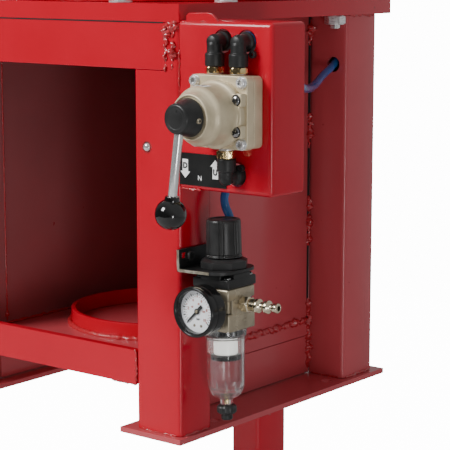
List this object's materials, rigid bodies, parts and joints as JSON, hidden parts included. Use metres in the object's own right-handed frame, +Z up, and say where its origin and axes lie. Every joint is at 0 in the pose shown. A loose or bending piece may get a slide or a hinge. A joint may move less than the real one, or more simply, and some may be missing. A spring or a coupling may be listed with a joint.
{
  "type": "pneumatic oil filter crusher",
  "caption": "Floor-standing air-operated press that crushes used oil filters in a welded steel chamber, with a hand lever valve and a filter-regulator.",
  "frame": {"origin": "middle of the bounding box's underside, on the floor; the chamber's middle plane is 45.5 mm to the left of it", "axes": "+Z up, +Y from the chamber's open front to its back, +X towards the control box"},
  "size_m": [0.411, 0.48, 1.1845],
  "materials": {
    "red_paint": "gloss red paint over welded steel",
    "zinc_steel": "bright zinc plated steel",
    "cast_metal": "satin die-cast metal with a nickel tint",
    "ground_steel": "ground steel",
    "black_plastic": "black moulded plastic",
    "black_gloss": "glossy black plastic",
    "black_steel": "black coated steel plate",
    "brass": "bright brass",
    "blue_tube": "blue polyurethane tube",
    "white_filter": "white sintered plastic",
    "clear_plastic": "clear polycarbonate"
  },
  "bodies": {
    "frame": {"top_plate": "red_paint", "front_post_right": "red_paint", "front_post_left": "red_paint", "rear_post_right": "red_paint", "rear_post_left": "red_paint", "side_panel_right": "red_paint", "side_panel_left": "red_paint", "back_panel": "red_paint", "upper_front_rail": "red_paint", "lower_front_rail": "red_paint", "floor_plate": "red_paint", "collar_ring": "red_paint", "apron_right": "red_paint", "apron_left": "red_paint", "base_strip_right": "red_paint", "base_strip_left": "red_paint", "leg_right": "red_paint", "leg_left": "red_paint", "cross_tube": "red_paint", "cylinder_barrel": "red_paint", "cylinder_cover": "red_paint", "control_box": "red_paint", "tie_rod_1": "zinc_steel", "tie_rod_2": "zinc_steel", "tie_rod_3": "zinc_steel", "tie_rod_4": "zinc_steel", "tie_rod_5": "zinc_steel", "tie_rod_6": "zinc_steel", "tie_rod_7": "zinc_steel", "tie_rod_8": "zinc_steel", "valve_body": "cast_metal", "valve_housing": "cast_metal", "regulator_body": "cast_metal", "inlet_plug": "cast_metal", "elbow_down": "black_plastic", "elbow_up": "black_plastic", "elbow_supply": "black_plastic", "position_label": "black_plastic", "regulator_bonnet": "black_plastic", "panel_nut": "black_plastic", "gauge_case": "black_plastic", "regulator_bracket": "black_steel", "nipple_down": "brass", "nipple_up": "brass", "nipple_supply": "brass", "rod_gland": "brass", "supply_tube": "blue_tube", "cylinder_tube": "blue_tube", "filter_element": "white_filter", "filter_bowl": "clear_plastic"},
    "ram": {"piston": "ground_steel", "piston_rod": "zinc_steel", "platen": "red_paint"},
    "lever": {"lever_hub": "black_plastic", "lever_rod": "zinc_steel", "lever_ball": "black_gloss"},
    "knob": {"regulator_knob": "black_plastic"},
    "needle": {"gauge_needle": "black_plastic"},
    "drain": {"drain_knob": "black_plastic"},
    "catch": {"ball_catch": "zinc_steel"}
  },
  "joints": [
    {"name": "ram_slide", "type": "slide", "parent": "frame", "child": "ram", "axis": [0, 0, -1], "range_m": [0, 0.215]},
    {"name": "lever_turn", "type": "hinge", "parent": "frame", "child": "lever", "pos_m": [0.168, -0.224, 0.8049], "axis": [0, 1, 0], "range_deg": [-50, 40]},
    {"name": "knob_turn", "type": "hinge", "parent": "frame", "child": "knob", "pos_m": [0.1385, -0.134, 0.7], "axis": [-0.0236, 0, 0.9997], "range_deg": [-1440, 0]},
    {"name": "needle_turn", "type": "hinge", "parent": "frame", "child": "needle", "pos_m": [0.13989, -0.1709, 0.64102], "axis": [0, 1, 0], "range_deg": [0, 262], "stiffness_Nm_per_rad": 0.0005},
    {"name": "drain_turn", "type": "hinge", "parent": "frame", "child": "drain", "pos_m": [0.14203, -0.134, 0.55004], "axis": [-0.0236, 0, 0.9997], "range_deg": [0, 90]},
    {"name": "catch_press", "type": "slide", "parent": "frame", "child": "catch", "axis": [0, 1, 0], "range_m": [0, 0.002], "stiffness_N_per_m": 2000}
  ]
}
